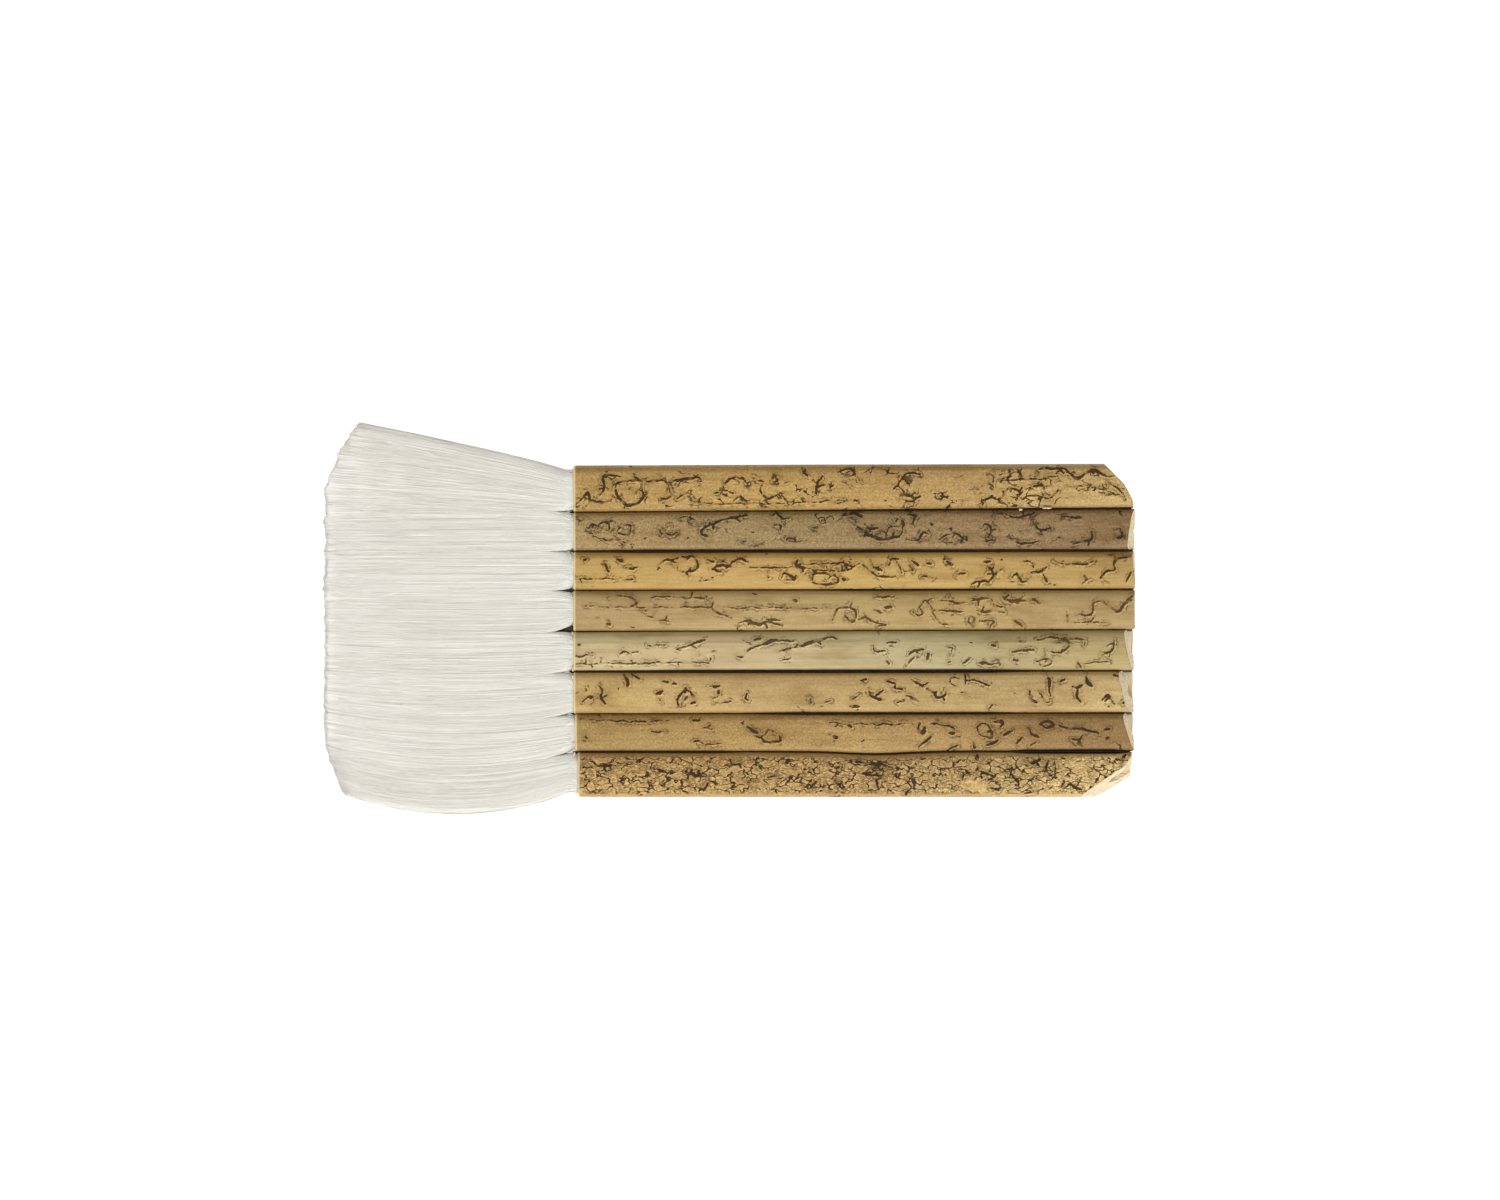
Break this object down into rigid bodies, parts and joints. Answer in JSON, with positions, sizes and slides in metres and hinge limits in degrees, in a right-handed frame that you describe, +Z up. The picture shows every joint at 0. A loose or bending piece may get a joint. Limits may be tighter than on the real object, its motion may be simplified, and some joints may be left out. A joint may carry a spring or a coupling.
{
  "type": "calligraphy wash brush",
  "caption": "Flat wash brush for ink and calligraphy: bamboo stems pinned side by side as a wide handle, each holding a tuft of soft white hair that bends and springs back.",
  "frame": {"origin": "middle of the brush's outline, on the surface that it lies on", "axes": "+X along the brush from the hair towards the tail of the handle, +Y across the row of stems, +Z up from the surface"},
  "size_m": [0.1664, 0.0804, 0.008],
  "materials": {
    "bamboo": "satin cane skin with brown flecks and fine crackle",
    "pin_bamboo": "matte split bamboo",
    "hair": "soft matte, slightly translucent hair",
    "thread": "matte twisted thread",
    "rosin": "glossy set resin"
  },
  "bodies": {
    "handle": {"stem_1": "bamboo", "stem_2": "bamboo", "stem_3": "bamboo", "stem_4": "bamboo", "stem_5": "bamboo", "stem_6": "bamboo", "stem_7": "bamboo", "stem_8": "bamboo", "plug_1": "rosin", "plug_2": "rosin", "plug_3": "rosin", "plug_4": "rosin", "plug_5": "rosin", "plug_6": "rosin", "plug_7": "rosin", "plug_8": "rosin", "root_1": "hair", "root_2": "hair", "root_3": "hair", "root_4": "hair", "root_5": "hair", "root_6": "hair", "root_7": "hair", "root_8": "hair", "binding_1": "thread", "binding_2": "thread", "binding_3": "thread", "binding_4": "thread", "binding_5": "thread", "binding_6": "thread", "binding_7": "thread", "binding_8": "thread", "cross_pin_front": "pin_bamboo", "cross_pin_rear": "pin_bamboo"},
    "hair_head": {"tuft_1": "hair", "tuft_2": "hair", "tuft_3": "hair", "tuft_4": "hair", "tuft_5": "hair", "tuft_6": "hair", "tuft_7": "hair", "tuft_8": "hair"}
  },
  "joints": [
    {"name": "hair_flex", "type": "hinge", "parent": "handle", "child": "hair_head", "pos_m": [-0.0354, 0, 0.004], "axis": [0, 1, 0], "range_deg": [-40, 40], "stiffness_Nm_per_rad": 0.06}
  ]
}
